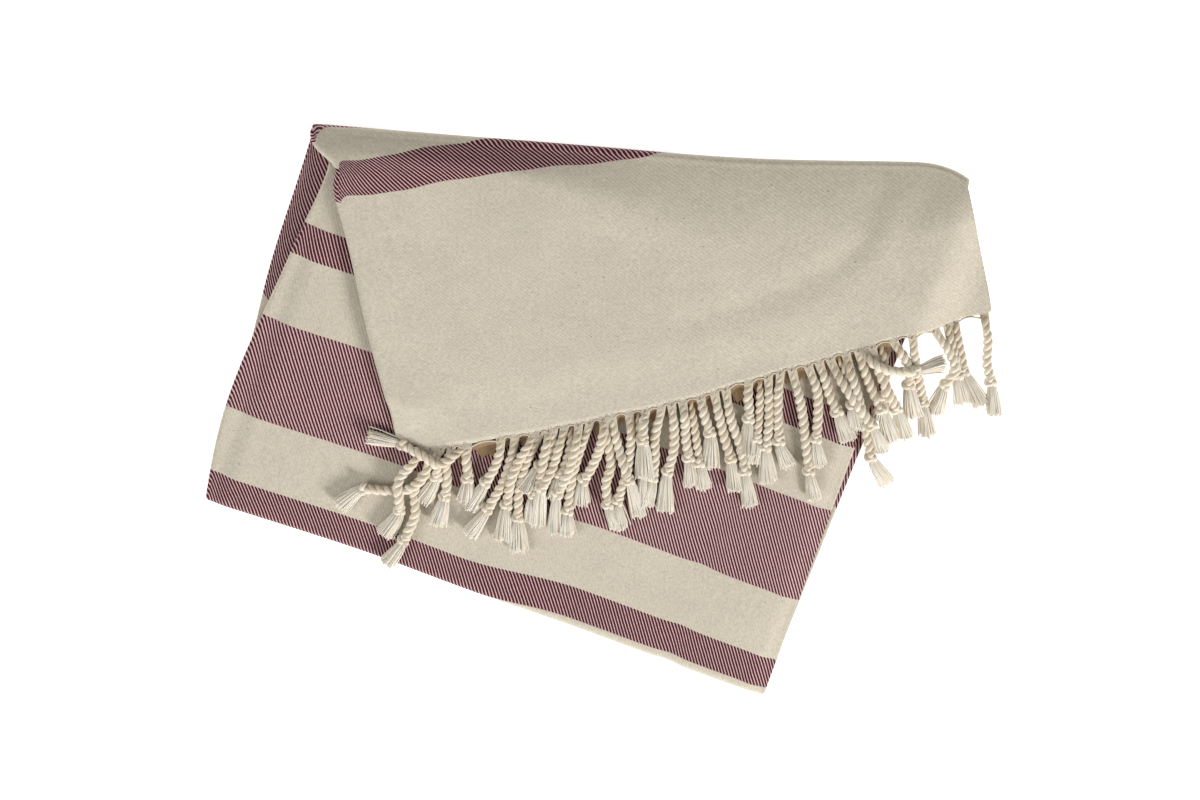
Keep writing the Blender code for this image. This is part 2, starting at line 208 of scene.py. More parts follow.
SHADED_DROP = 1.0 * MM  # how much lower each lies than the one before
SHADED_LOWEST = 4.8 * MM
ARCH_SIZE = 1.25  # its thickness beside a root's yarns
TUFT_CHANCE = 0.6
FRINGE_CORDS = (
    # root, first bend, second bend, knot, tip (view places across and down), level
    (463, 446, 440, 462, 425, 455, 403, 445, 368, 437, 2),
    (430, 449, 424, 475, 402, 490, 364, 489, 340, 506, 1),
    (441, 449, 416, 487, 415, 515, 404, 540, 386, 564, 0),
    (422, 449, 400, 478, 399, 493, 400, 509, 385, 535, 2),
    (433, 449, 436, 458, 437, 466, 437, 475, 424, 501, 1),
    (451, 445, 446, 462, 447, 480, 445, 496, 437, 524, 0),
    (467, 443, 466, 455, 467, 466, 468, 478, 466, 500, 0),
    (501, 440, 499, 456, 494, 469, 486, 482, 469, 508, 2),
    (515, 437, 511, 458, 503, 483, 488, 508, 468, 534, 1),
    (533, 434, 519, 460, 511, 480, 507, 504, 504, 540, 1),
    (540, 433, 526, 463, 519, 490, 518, 517, 518, 551, 0),
    (565, 430, 559, 446, 553, 465, 542, 486, 537, 524, 2),
    (549, 433, 544, 455, 541, 476, 534, 495, 531, 520, 1),
    (579, 427, 575, 448, 568, 473, 558, 492, 555, 532, 2),
    (590, 424, 578, 455, 571, 485, 568, 510, 567, 534, 1),
    (554, 432, 551, 445, 547, 458, 540, 466, 523, 490, 0),
    (605, 423, 600, 447, 592, 467, 584, 479, 581, 504, 1),
    (612, 418, 616, 439, 622, 459, 629, 478, 639, 515, 2),
    (629, 413, 631, 440, 627, 472, 618, 500, 621, 528, 1),
    (604, 423, 611, 463, 606, 483, 608, 504, 618, 526, 0),
    (645, 409, 644, 418, 643, 428, 643, 438, 645, 476, 2),
    (661, 405, 655, 436, 655, 458, 653, 477, 645, 505, 0),
    (671, 402, 674, 425, 674, 448, 668, 471, 666, 511, 1),
    (682, 400, 685, 420, 686, 440, 689, 457, 693, 485, 2),
    (701, 399, 703, 410, 706, 421, 710, 432, 710, 467, 1),
    (715, 396, 719, 415, 724, 436, 731, 458, 737, 490, 1),
    (727, 395, 731, 420, 740, 445, 745, 470, 750, 505, 0),
    (749, 385, 748, 396, 749, 407, 749, 418, 746, 454, 2),
    (768, 376, 769, 400, 769, 424, 766, 446, 769, 482, 1),
    (780, 372, 778, 396, 778, 420, 779, 440, 789, 466, 0),
    (792, 370, 801, 405, 805, 437, 809, 470, 815, 500, 1),
    (808, 365, 817, 390, 818, 415, 816, 438, 819, 465, 2),
    (819, 362, 825, 379, 830, 396, 837, 411, 848, 440, 1),
    (830, 359, 843, 383, 858, 404, 871, 423, 883, 449, 2),
    (846, 355, 856, 390, 865, 426, 871, 456, 886, 481, 0),
    (858, 349, 864, 370, 872, 390, 881, 408, 891, 438, 1),
    (871, 343, 878, 368, 888, 391, 896, 407, 905, 435, 0),
    (862, 348, 875, 363, 893, 370, 914, 369, 941, 362, 3),
    (893, 338, 902, 354, 909, 368, 909, 384, 914, 415, 2),
    (912, 333, 914, 353, 918, 376, 923, 402, 928, 436, 1),
    (935, 327, 948, 349, 954, 366, 945, 383, 935, 412, 1),
    (956, 327, 958, 341, 961, 355, 964, 371, 981, 405, 0),
    (986, 323, 988, 342, 987, 363, 991, 381, 994, 414, 0),
    (948, 328, 951, 343, 955, 358, 957, 373, 963, 402, 0),
    # of the lower ply
    (571, 430, 570, 445, 566, 460, 560, 474, 556, 498, -1),
    (637, 412, 640, 440, 643, 456, 643, 472, 644, 500, -1),
    (690, 400, 694, 425, 697, 445, 699, 462, 703, 488, -1),
    (760, 381, 760, 400, 759, 420, 757, 438, 752, 462, -1),
    (838, 358, 846, 372, 851, 388, 853, 404, 858, 428, -1),
    (880, 343, 884, 360, 886, 378, 884, 396, 880, 420, -1),
)

# Linear colours
CREAM = (0.565, 0.515, 0.420)
# painted shade: the cream darkened in the twill ribs' grooves
PAINTED_GROOVE_SHADE = (0.44, 0.38, 0.29)
BURGUNDY = (0.055, 0.005, 0.009)
WEFT_PINK = (0.64, 0.43, 0.43)
SLUB = (0.26, 0.19, 0.12)
CORD_CREAM = (0.73, 0.665, 0.55)
# the cords' darker tone, which also paints the shade between their plies
CORD_SHADE = (0.52, 0.39, 0.24)
ROOT_CREAM = (0.60, 0.54, 0.43)
ROOT_SHADE = (0.50, 0.42, 0.30)
BRUSH_WHITE = (0.81, 0.755, 0.655)
# painted shade: the lower ply's yarns in the gaps under the hem, coloured as dark as the shade there
PAINTED_SHADE_TAN = (0.30, 0.20, 0.11)
SOFTNESS = 1.5 * MM  # how far light spreads inside the yarn
TUFT_BROWN = (0.25, 0.14, 0.08)

# Yarn finishes: light and dark colour, bump depth (mm), fibres round the yarn, painted shade inside the
# cord
YARNS = {
    "twisted_cotton_cord": (CORD_CREAM, CORD_SHADE, 0.4, 1.3, 0.85),
    "loose_cotton_yarn": (BRUSH_WHITE, CORD_CREAM, 0.12, 0.8, 0.3),
    "gathered_warp_yarn": (ROOT_CREAM, ROOT_SHADE, 0.15, 1.5, 0.2),
    "cut_weft_end": (TUFT_BROWN, SLUB, 0.1, 1.5, 0.2),
    "dense_cotton_yarn": (CORD_CREAM, CORD_SHADE, 0.5, 9.0, 0.5),
    "shaded_warp_yarn": (PAINTED_SHADE_TAN, TUFT_BROWN, 0.15, 1.5, 0.2),
}

# The studio
FLOOR_REACH = 20
FLOOR_DROP = 0.2 * MM
WORLD_COLOUR = (1.0, 0.98, 0.95, 1)
WORLD_STRENGTH = 0.42
LAMPS = (
    # name, place, size, power, colour
    ("key", (2.6, -3.1, 1.95), 1.2, 216, (1.0, 0.99, 0.98)),
    ("fill", (-2.2, -0.5, 1.7), 1.4, 36, (0.98, 0.99, 1.0)),
)


def smooth(value):
    """An even step from 0 to 1, so smooth((x - a) / b) rises from a to a + b."""
    value = min(max(value, 0.0), 1.0)
    return value * value * (3 - 2 * value)


def bell(value):
    """A bump round 0, so bell((x - a) / b) is 1 at a and about a third at b to each side."""
    return math.exp(-value * value)


def fading(value, reach):
    """1 at 0, and about a third at each reach further."""
    return math.exp(-value / reach)


def placed(name, data):
    """A new object in the scene."""
    thing = bpy.data.objects.new(name, data)
    bpy.context.scene.collection.objects.link(thing)
    return thing


# ---- the camera


def view_axes():
    back = Vector((0, math.sin(VIEW_TILT), math.cos(VIEW_TILT)))
    right = Vector((1, 0, 0))
    return right, back.cross(right), back


def seen_at(across, down, height):
    """The plan position that shows at a view place, for a point at a height."""
    right, up, back = view_axes()
    ray = (
        right * ((across - VIEW_MIDDLE[0]) / VIEW_FOCUS)
        - up * ((down - VIEW_MIDDLE[1]) / VIEW_FOCUS)
        - back
    )
    start = back * VIEW_DISTANCE
    return (start + ray * ((height - start.z) / ray.z)).to_2d()


def make_camera():
    data = bpy.data.cameras.new("camera")
    data.lens = VIEW_FOCUS / VIEW_WIDTH * SENSOR_WIDTH
    data.sensor_width = SENSOR_WIDTH
    camera = placed("camera", data)
    camera.location = view_axes()[2] * VIEW_DISTANCE
    camera.rotation_euler = (-VIEW_TILT, 0, 0)
    bpy.context.scene.camera = camera


# ---- the folded cloth
#
# A share runs from 0 at a line's left end to 1 at its right end. A part runs from 0 at the row where a
# layer starts to 1 at the row where it ends, counted from the hem on.


def on_line(line, share):
    return line[0].lerp(line[1], share)


def outward(line, away_from=MIDDLE):
    """The unit normal of a plan line, pointing away from a plan point."""
    along = line[1] - line[0]
    normal = Vector((-along.y, along.x)).normalized()
    return normal if normal.dot(line[0] - away_from) > 0 else -normal


class Side:
    """A straight edge in plan, and how far a point lies outside it."""

    def __init__(self, line, away_from=MIDDLE):
        self.start = line[0]
        self.normal = outward(line, away_from)

    def beyond(self, point):
        return self.normal.dot(point - self.start)


BACK_RIGHT = Side((BOTTOM_FOLD[1], TOP_FOLD[1]))
FRONT_LEFT = Side((BOTTOM_FOLD[0], INNER_TOP_FOLD[0]))
FRONT_RIGHT = Side((BOTTOM_FOLD[1], INNER_TOP_FOLD[1]))
FRONT_END = Side(INNER_TOP_FOLD)
FLAP_LEFT = Side((HEM[0], TOP_FOLD[0]))
FLAP_END = Side(HEM, TOP_FOLD[0])
TOP_END = Side(TOP_FOLD)


def crease_depth(point, places, half_width):
    """How deep a crease is at a point. Its places hold plan positions and depths."""
    nearest, depth = math.inf, 0.0
    for (start, first), (end, second) in zip(places, places[1:]):
        along = end - start
        share = min(max((point - start).dot(along) / along.length_squared, 0.0), 1.0)
        apart = (point - start - along * share).length
        if apart < nearest:
            nearest, depth = apart, first + (second - first) * share
    return depth * bell(nearest / half_width)


def layer_height(layer):
    """Middle of a layer above the surface, counted from 0 for the back."""
    return HALF_LAYER + layer * LAYER_PITCH


FRONT_TOP = layer_height(3) + HALF_LAYER + FRONT_LIFT + FRONT_WAVE
CREASES = [
    ([(seen_at(across, down, FRONT_TOP), depth * MM) for across, down, depth in places], half_width * MM)
    for half_width, places in FLAP_CREASES
]


def ripple(point, length, seed):
    """Gentle unevenness between -1 and 1."""
    x, y = point.x / length, point.y / length
    first = math.sin(x * 1.7 + seed + 1.3 * math.sin(y * 1.1 + seed))
    second = math.sin(y * 2.1 - seed + 1.1 * math.sin(x * 1.4 + 2 * seed))
    return (first + second) / 2


def flat_layer(layer):
    """The height over the plan of a layer that lies flat."""
    return lambda _point: layer_height(layer)


back_height, second_hidden_height, first_hidden_height = (flat_layer(layer) for layer in range(3))


def front_height(point):
    """The front lies on the hidden layers and droops at its side edges, which reach past them."""
    inside = min(-FRONT_LEFT.beyond(point), -FRONT_RIGHT.beyond(point))
    below = smooth(-FRONT_END.beyond(point) / DROOP_FADE)
    wave = FRONT_WAVE * ripple(point, FRONT_WAVE_LENGTH, 0.7)
    droop = FRONT_DROOP * below * (1 - smooth(inside / DROOP_WIDTH))
    return layer_height(3) + (FRONT_LIFT + wave) * smooth(inside / FRONT_RISE_WIDTH) - droop


def drape(point):
    """How far the flap and its fringe have come down past the towel's right edge, from 0 to 1."""
    return smooth((BACK_RIGHT.beyond(point) - DRAPE_START) / DRAPE_WIDTH)


def rest_height(point):
    """What the flap and its fringe lie on: the front, and past the right edge the surface."""
    return (FRONT_TOP + CLEAR) * (1 - drape(point))


def flap_height(point):
    """The flap lies on the front, slopes down to the top fold and drapes on the right."""
    from_hem = -FLAP_END.beyond(point)
    past_front = FRONT_END.beyond(point)
    rise = HEM_LIFT + (FLAP_LIFT - HEM_LIFT) * smooth(from_hem / HEM_RISE_WIDTH)
    rise *= LEFT_LIFT + (1 - LEFT_LIFT) * smooth(-FLAP_LEFT.beyond(point) / LEFT_RISE_WIDTH)
    rise -= FLAP_FALL * smooth(past_front / FALL_WIDTH)
    rise -= sum(crease_depth(point, *crease) for crease in CREASES)
    rise += FLAP_WAVE * ripple(point, FLAP_WAVE_LENGTH, 2.2) * smooth(from_hem / FLAP_STILL_WIDTH)
    if past_front < 0:
        rise = max(rise, 0.0)
    lying = HALF_LAYER + rest_height(point) + rise * (1 - drape(point))
    share = (point.x - TOP_FOLD[0].x) / (TOP_FOLD[1].x - TOP_FOLD[0].x)
    at_fold = layer_height(1) + CLEAR + CORNER_BULGE * fading(max(share, 0.0), CORNER_FADE)
    evenly = bell((share - 0.72) / 0.3)
    away = min(max(-TOP_END.beyond(point) / (TOP_SLOPE + TOP_SLOPE_RIGHT * evenly), 0.0), 1.0)
    bent = 1 - (1 - away) ** EVEN_BEND
    return at_fold + (lying - at_fold) * (smooth(away) * (1 - evenly) + bent * evenly)


def hem_sag(share):
    return HEM_SAG * (1 - fading(share, 0.035)) * (1 - smooth((share - 0.38) / 0.5))


def hem_plan(share):
    """The fringed edge sags over its left part."""
    waves = 1.0 * MM * math.sin(share * 47) * math.sin(share * 19 + 1) * smooth(share / 0.1)
    return on_line(HEM, share) + outward(HEM, TOP_FOLD[0]) * (hem_sag(share) + waves)


def top_fold_plan(share):
    corner = TOP_CORNER_ROUNDING * max((share - TOP_CORNER_START) / (1 - TOP_CORNER_START), 0.0) ** 2.6
    inward = TOP_FOLD_SAG * math.sin(math.pi * share) + corner
    inward += TOP_FOLD_SAG_RIGHT * bell((share - 0.66) / 0.2)
    return on_line(TOP_FOLD, share) - outward(TOP_FOLD) * inward


def bottom_fold_plan(share):
    inward = sum(depth * bell((share - middle) / width) for depth, middle, width in BOTTOM_FOLD_BOWS)
    return on_line(BOTTOM_FOLD, share) - outward(BOTTOM_FOLD) * inward


def inner_top_plan(share):
    return on_line(INNER_TOP_FOLD, share)


def inset(line):
    """A hidden layer's line, drawn in from the front's side edges."""
    along = (line[1] - line[0]).normalized()
    return (line[0] + along * HIDDEN_INSET_LEFT, line[1] - along * HIDDEN_INSET_RIGHT)


def inner_bottom_plan(share):
    return on_line(inset(INNER_BOTTOM_FOLD), share)


SHARES = [
    share - CLOSER_AT_ENDS * math.sin(2 * math.pi * share) / (2 * math.pi)
    for share in (index / PLACES_ACROSS for index in range(PLACES_ACROSS + 1))
]
ACROSS = [HALF_WIDTH * share for share in SHARES]


def fold_point(plan, out, height_before, height_after, share, turn, fullness):
    """A point of a half roll between two layers. Its outer face reaches the plan line, and a fullness
    below 1 makes the roll squarer."""
    edge = plan(share)
    radius = LAYER_PITCH
    for _ in range(3):
        inside = edge - out * (HALF_LAYER + radius)
        start, end = height_before(inside), height_after(inside)
        radius = abs(start - end) / 2
    place = inside + out * (radius * max(math.sin(turn), 0.0) ** fullness)
    return Vector((place.x, place.y, (start + end) / 2 + (start - end) / 2 * math.cos(turn)))


def fold_rows(plan, line, heights, turns, fullness=1.0):
    out = outward(line)
    return [
        [fold_point(plan, out, *heights, share, math.pi * step / turns, fullness) for share in SHARES]
        for step in range(turns + 1)
    ]


def raised(point, height):
    return Vector((*point, height(point)))


def panel_rows(first, last, height, steps, shift=lambda _part, _place: Vector((0, 0))):
    """The rows between two rows, each point at its layer's height."""
    return [
        [
            raised(start.to_2d().lerp(end.to_2d(), part) + shift(part, place), height)
            for place, start, end in zip(ACROSS, first, last)
        ]
        for part in (step / steps for step in range(1, steps))
    ]


def flap_shift(part, place):
    """The flap's left edge is drawn in towards its upper end, most in a small tuck before the top fold,
    and its selvedge bulges near the hem."""
    drawn = FLAP_DRAWN_IN * smooth(part / 0.12) + FLAP_DRAWN_MORE * smooth((part - 0.25) / 0.5)
    drawn *= 1 - smooth((part - 0.92) / 0.07)
    drawn += FLAP_TUCK * bell((part - 0.9) / 0.042)
    bulge = SELVEDGE_BULGE * bell((part - 0.18) / 0.3) * (place / HALF_WIDTH) ** 6
    return Vector((drawn * fading(place, 45 * MM) + bulge, 0))


def front_shift(part, place):
    """The front's left edge bows outwards, most at its lower third, and is drawn in above."""
    near = part / FRONT_BOW_AT
    bow = FRONT_LEFT_BOW * near * math.exp((1 - near**2) / 2)
    bow -= FRONT_DRAWN_IN * bell((part - 0.8) / 0.2)
    bow += FRONT_HELD_OUT * part * (1 - smooth((part - 0.74) / 0.24))
    return FRONT_LEFT.normal * bow * fading(place, 90 * MM)


def back_shift(part, place):
    """The back's left edge bows a little outwards below the top fold."""
    return Vector((-BACK_LEFT_BOW, 0)) * bell((part - 0.35) / 0.2) * fading(place, 30 * MM)


def hidden_shift(part, place):
    """The first hidden layer draws in early from the width of the inner top fold."""
    along = (INNER_BOTTOM_FOLD[1] - INNER_BOTTOM_FOLD[0]).normalized()
    early = min(part * HIDDEN_STEPS, 1.0) - part
    share = place / HALF_WIDTH
    return along * early * (HIDDEN_INSET_LEFT * (1 - share) - HIDDEN_INSET_RIGHT * share)


def middle_surface():
    """Rows of points down the middle of the doubled cloth, from the hem to the hidden end, and the
    numbers of the rows where the back begins, where the bottom fold's crest lies and where the front
    ends."""
    recess = outward(HEM, TOP_FOLD[0]) * HEM_RECESS
    hem = [raised(hem_plan(share) - recess, flap_height) for share in SHARES]
    end = [raised(on_line(inset(HIDDEN_END), share), second_hidden_height) for share in SHARES]
    top = fold_rows(top_fold_plan, TOP_FOLD, (flap_height, back_height), OUTER_TURNS, TOP_FOLD_FULLNESS)
    bottom = fold_rows(bottom_fold_plan, BOTTOM_FOLD, (back_height, front_height), OUTER_TURNS)
    upper = fold_rows(inner_top_plan, INNER_TOP_FOLD, (front_height, first_hidden_height), INNER_TURNS)
    hidden = (first_hidden_height, second_hidden_height)
    lower = fold_rows(inner_bottom_plan, INNER_BOTTOM_FOLD, hidden, INNER_TURNS)
    rows = [hem, *panel_rows(hem, top[0], flap_height, FLAP_STEPS, flap_shift), *top]
    back_start = len(rows) - 1
    rows += panel_rows(top[-1], bottom[0], back_height, BACK_STEPS, back_shift)
    crest = len(rows) + OUTER_TURNS // 2
    rows += bottom + panel_rows(bottom[-1], upper[0], front_height, FRONT_STEPS, front_shift)
    front_end = len(rows)
    rows += upper + panel_rows(upper[-1], lower[0], first_hidden_height, HIDDEN_STEPS, hidden_shift)
    rows += lower + panel_rows(lower[-1], end, second_hidden_height, 2) + [end]
    return np.array([[tuple(point) for point in row] for row in rows]), back_start, crest, front_end


def stripe_rise(share):
    return STRIPE_RISE * (1 - fading(share, STRIPE_RISE_WIDTH)) * (1 - smooth((share - 0.18) / 0.42))


def bottom_fold_along(share):
    slipped = FOLD_SLIPPED * smooth((share - 0.42) / 0.22) - 2 * smooth((share - 0.93) / 0.07)
    return (BOTTOM_FOLD_ALONG - slipped) * MM


def lengths_along(points, back_start, crest):
    """Each point's distance along the cloth from the hem, less the stretch where the cloth has been
    pulled down. The back's share is evened out, so that the bottom fold comes at the same stripe."""
    steps = np.linalg.norm(np.diff(points, axis=0), axis=2)
    level = np.linalg.norm(points[FLAP_STEPS, :, :2] - points[0, :, :2], axis=1) / FLAP_STEPS
    fall = np.diff(points[: FLAP_STEPS + 1, :, 2], axis=0)
    steps[:FLAP_STEPS] = np.sqrt(level**2 + fall**2)
    start = np.array([HEM_RECESS - stripe_rise(share) for share in SHARES])
    target = np.array([bottom_fold_along(share) for share in SHARES])
    before = start + steps[:back_start].sum(axis=0)
    steps[back_start:crest] *= (target - before) / steps[back_start:crest].sum(axis=0)
    return start + np.vstack([np.zeros(points.shape[1]), np.cumsum(steps, axis=0)])


def unit(vectors):
    return vectors / np.maximum(np.linalg.norm(vectors, axis=-1, keepdims=True), 1e-12)


def directions(points, axis):
    """The unit direction through each point along one axis of the grid."""
    steps = unit(np.diff(points, axis=axis))
    padding = [(0, 0)] * points.ndim
    padding[axis] = (1, 0)
    before = np.pad(steps, padding)
    padding[axis] = (0, 1)
    return unit(before + np.pad(steps, padding))


def plain_mesh(name, points, faces):
    mesh = bpy.data.meshes.new(name)
    mesh.from_pydata([tuple(point) for point in points], [], faces)
    mesh.shade_smooth()
    return placed(name, mesh)


def ring_faces(first, rings, around):
    """Faces between neighbouring rings of points, which are counted from a first point on."""
    return [
        (ring + k, ring + after, ring + around + after, ring + around + k)
        for ring in range(first, first + (rings - 1) * around, around)
        for k, after in enumerate([*range(1, around), 0])
    ]


def rising(count, first, first_steps, last, last_steps):
    """For each of a count of rows, 1 between two rows and 0 beyond them, with even slopes inside."""
    rows = np.arange(count)
    return np.clip((rows - first) / first_steps, 0, 1) * np.clip((last - rows) / last_steps, 0, 1)


def build_cloth():
    """A loft of the cloth's sections, bent into its folds, with both ends closed and its weave's own
    coordinates: across from the lengthwise fold, and along from the hem."""
    middle, back_start, crest, front_end = middle_surface()
    along_lengths = lengths_along(middle, back_start, crest)
    along = directions(middle, 0)
    normal = unit(np.cross(directions(middle, 1), along))
    across = unit(np.cross(along, normal))
    flap_part = rising(len(middle), 0, 8, FLAP_STEPS + 4, 10)
    front_part = rising(len(middle), crest, 6, front_end, 14)
    puff_by_place = np.exp(-((np.array(ACROSS) / PUFF_WIDTH) ** 2))
    puff = np.outer(FLAP_PUFF * flap_part + FRONT_PUFF * front_part, puff_by_place)[:, :, None]
    middle = middle + np.array([0, 0, 1]) * puff * (flap_part + 0.6 * front_part)[:, None, None]
    # Round the doubled cloth from the first selvedge to the other: each point's place across, and its turn
    number = len(ACROSS)
    places = np.array([*reversed(range(number)), *[0] * len(EDGE_TURNS), *range(number)])
    turns = np.array([0.0] * number + EDGE_TURNS + [math.pi] * number)
    reach = normal[:, places] * np.cos(turns)[:, None] - across[:, places] * np.sin(turns)[:, None]
    outer, inner = (
        middle[:, places] + reach * (offset + puff[:, places])
        for offset in (HALF_LAYER, HALF_LAYER - CLOTH_THICKNESS)
    )
    points = np.concatenate([outer, inner[:, ::-1]], axis=1)
    ply = np.where(turns > math.pi / 2, -1, 1)
    from_crest = ply * np.array(ACROSS)[places] - (turns - math.pi / 2) * PLY_PITCH / 2
    weave = np.stack(np.broadcast_arrays(from_crest, along_lengths[:, places]), axis=2)
    weave = np.concatenate([weave, weave[:, ::-1]], axis=1)
    count, around = points.shape[:2]
    faces = ring_faces(0, count, around)
    for first, order in ((0, -1), ((count - 1) * around, 1)):
        last = first + around - 1
        for k in range(around // 2 - 1):
            faces.append((first + k, first + k + 1, last - k - 1, last - k)[::order])
    cloth = plain_mesh("towel_cloth_folded", points.reshape(-1, 3), faces)
    layer = cloth.data.uv_layers.new(name="weave")
    corners = np.empty(len(cloth.data.loops), np.int32)
    cloth.data.loops.foreach_get("vertex_index", corners)
    layer.data.foreach_set("uv", weave.reshape(-1, 2)[corners].astype(np.float32).ravel())
    cloth.data.flip_normals()  # the loft comes inside out
    return cloth


# ---- node trees


def math_step(operation, turned=False):
    """A method that adds a Math node, with the values turned round where its own value comes second."""

    def step(value, *others):
        values = (*others, value) if turned else (value, *others)
        return value.graph.node("ShaderNodeMath", values, operation=operation)

    return step


class Value:
    """A node's output. Arithmetic on it adds Math nodes."""

    def __init__(self, graph, socket):
        self.graph, self.socket = graph, socket

    __add__, __radd__ = math_step("ADD"), math_step("ADD", turned=True)
    __sub__, __rsub__ = math_step("SUBTRACT"), math_step("SUBTRACT", turned=True)
    __mul__, __rmul__ = math_step("MULTIPLY"), math_step("MULTIPLY", turned=True)
    __truediv__, __pow__ = math_step("DIVIDE"), math_step("POWER")
    __gt__, __lt__ = math_step("GREATER_THAN"), math_step("LESS_THAN")
    __abs__, largest = math_step("ABSOLUTE"), math_step("MAXIMUM")
    floor, fraction, exponent = math_step("FLOOR"), math_step("FRACT"), math_step("EXPONENT")
    sine, cosine = math_step("SINE"), math_step("COSINE")

    def between(self, low, high):
        """0 below low, 1 above high, with a smooth step between."""
        values = (self, low, high, 0.0, 1.0)
        return self.graph.node("ShaderNodeMapRange", values, interpolation_type="SMOOTHSTEP")


class Graph:
    """A node tree that is being written."""

    def __init__(self, tree):
        self.tree = tree

    def node(self, kind, inputs=(), output=0, **settings):
        """A node of a kind, with its settings and then its sockets' values or links, as one output."""
        node = self.tree.nodes.new(kind)
        for name, setting in settings.items():
            setattr(node, name, setting)
        for key, value in inputs.items() if isinstance(inputs, dict) else enumerate(inputs):
            if isinstance(value, Value):
                self.tree.links.new(value.socket, node.inputs[key])
            else:
                node.inputs[key].default_value = value
        return Value(self, node.outputs[output]) if node.outputs else node

    def outputs(self, kind, inputs=(), **settings):
        """All of a node's outputs."""
        first = self.node(kind, inputs, **settings)
        return [Value(self, socket) for socket in first.socket.node.outputs]

    def vector(self, operation, *values, output=0):
        if operation == "SCALE":
            values = {0: values[0], 3: values[1]}
        return self.node("ShaderNodeVectorMath", values, output, operation=operation)


class Finish(Graph):
    """A material."""

    def __init__(self, name):
        self.material = bpy.data.materials.new(name)
        self.material.use_nodes = True
        super().__init__(self.material.node_tree)
        self.tree.nodes.clear()

    def noise(self, where, scale, detail=2.0, roughness=0.5):
        inputs = {"Vector": where, "Scale": scale, "Detail": detail, "Roughness": roughness}
        return self.node("ShaderNodeTexNoise", inputs, noise_dimensions="3D")

    def mix(self, factor, *colours):
        first, second = (colour if isinstance(colour, Value) else (*colour, 1) for colour in colours)
        return self.node("ShaderNodeMix", {0: factor, 6: first, 7: second}, 2, data_type="RGBA")

    def done(self, inputs):
        shader = self.node("ShaderNodeBsdfPrincipled", inputs)
        self.node("ShaderNodeOutputMaterial", {"Surface": shader})
        return self.material

    def cotton(self, colour, roughness, height, depth, sheen, soft=0.0):
        bump = self.node("ShaderNodeBump", {"Strength": 1.0, "Distance": depth, "Height": height})
        return self.done(
            {
                "Base Color": colour,
                "Roughness": roughness,
                "Specular IOR Level": 0.25,
                "Sheen Weight": sheen,
                "Sheen Roughness": 0.5,
                "Subsurface Weight": soft,
                "Subsurface Radius": (1.0, 1.0, 1.0),
                "Subsurface Scale": SOFTNESS,
                "Normal": bump,
            }
        )


def striped_cotton():
    """Cotton twill: slanted ribs all over, with painted shade in their grooves over the cream, and dark
    weft in the stripes between pale warp.
    """
    finish = Finish("striped_cotton_twill")
    weave = finish.node("ShaderNodeUVMap", uv_map="weave")
    where = finish.node("ShaderNodeTexCoord", output=3)
    u, s, _ = finish.outputs("ShaderNodeSeparateXYZ", (weave,))
    slow, fine, wobble = (finish.noise(where, scale) for scale in (14.0, 900.0, 70.0))
    pulled = (abs(u) * (-1 / (STRIPE_RISE_WIDTH * HALF_WIDTH))).exponent() * STRIPE_RISE
    straight = s - pulled * (1 - s.between(TOP_FOLD_ALONG, TOP_FOLD_ALONG + 0.02))
    past_fold = straight - TOP_FOLD_ALONG
    widening = past_fold.between(0.0, 0.2) * (math.sin(RIB_LEAN_FRONT) - math.sin(RIB_LEAN_FLAP))
    leaning = past_fold.largest(0.0) * (math.cos(RIB_LEAN_FRONT) - math.cos(RIB_LEAN_FLAP))
    rib = u * (widening + math.sin(RIB_LEAN_FLAP)) + straight * math.cos(RIB_LEAN_FLAP) + leaning
    phase = ((rib + (wobble - 0.5) * RIB_WOBBLE) / RIB_PITCH).fraction()
    off_rib = abs(phase - 0.5) * 2
    from_end = TOWEL_LENGTH / 2 - abs(s - TOWEL_LENGTH / 2)
    edge = from_end + off_rib * STRIPE_TEETH + (fine - 0.5) * STRIPE_FRAY
    stripe, narrow = 0.0, 0.0
    for start, end in STRIPES:
        place = edge - pulled * STRIPE_EASE if start == STRIPES[0][0] else edge
        band = (place > start * MM) * (place < end * MM)
        stripe = band + stripe
        if end - start < NARROW_STRIPE:
            narrow = band + narrow
    weft = 1 - (off_rib - narrow * 0.08 + (fine - 0.5) * 0.12).between(0.55, 0.64)
    tone = finish.mix(slow.between(0.3, 0.7), CREAM, tuple(0.96 * part for part in CREAM))
    # painted shade in the ribs' grooves, over the cream
    groove_shade = (1 - off_rib).between(0.35, 1.0) * 0.3
    cream = finish.mix(groove_shade, tone, PAINTED_GROOVE_SHADE)
    woven = finish.mix(weft, WEFT_PINK, BURGUNDY)
    cells = finish.node("ShaderNodeMapping", {"Vector": weave, "Scale": SLUB_CELLS})
    inputs = {"Vector": cells, "Scale": 1.0}
    apart, cell, *_ = finish.outputs("ShaderNodeTexVoronoi", inputs, voronoi_dimensions="2D")
    chosen, darkness, _ = finish.outputs("ShaderNodeSeparateColor", (cell,))
    slub = (apart < SLUB_SIZE) * (chosen > 1 - SLUB_CHANCE) * (0.15 + 0.5 * darkness)
    colour = finish.mix(stripe, finish.mix(slub, cream, SLUB), woven)
    grain, patches, clouds = (finish.noise(where, scale, 1.0) for scale in (430.0, 150.0, 40.0))
    shade = (grain - 0.5) * 0.42 + (patches - 0.5) * 0.09 + (clouds - 0.5) * 0.07 + 1
    height = (1 - off_rib**2) * (stripe * 0.4 + 0.2) + fine * 0.5 + grain * 0.3 + clouds * 1.2
    return finish.cotton(finish.vector("SCALE", colour, shade), 0.93, height, 0.45 * MM, sheen=0.12)


